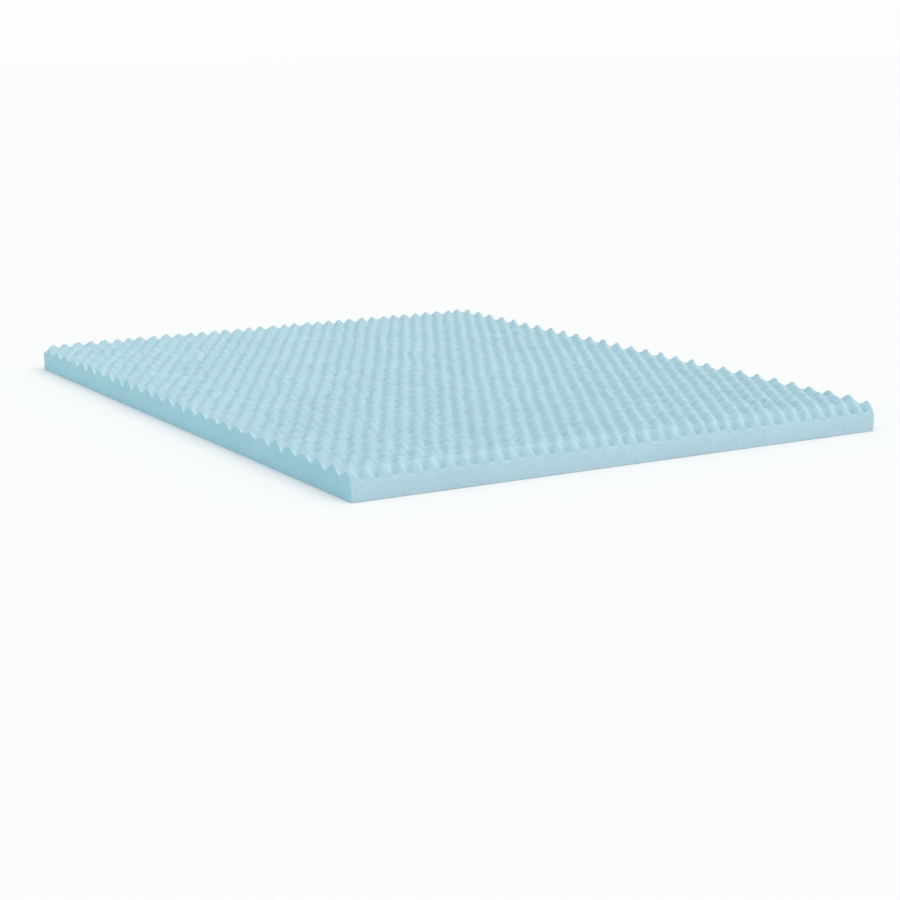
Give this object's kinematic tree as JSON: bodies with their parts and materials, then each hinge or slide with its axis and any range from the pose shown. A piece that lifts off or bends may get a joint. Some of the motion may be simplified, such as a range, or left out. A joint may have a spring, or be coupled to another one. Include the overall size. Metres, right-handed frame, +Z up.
{
  "type": "mattress topper",
  "caption": "Flat foam mattress topper for a full-size bed, with an egg-crate top of rounded peaks and pits and a flat underside.",
  "frame": {"origin": "middle of the underside, on the surface that the topper lies on", "axes": "+Z up, +Y along the bed (the long side), +X across the bed"},
  "size_m": [1.3716, 1.905, 0.075],
  "materials": {
    "foam": "matte open-cell polyurethane foam, pale blue"
  },
  "bodies": {
    "root": {"foam_slab": "foam"}
  },
  "joints": []
}
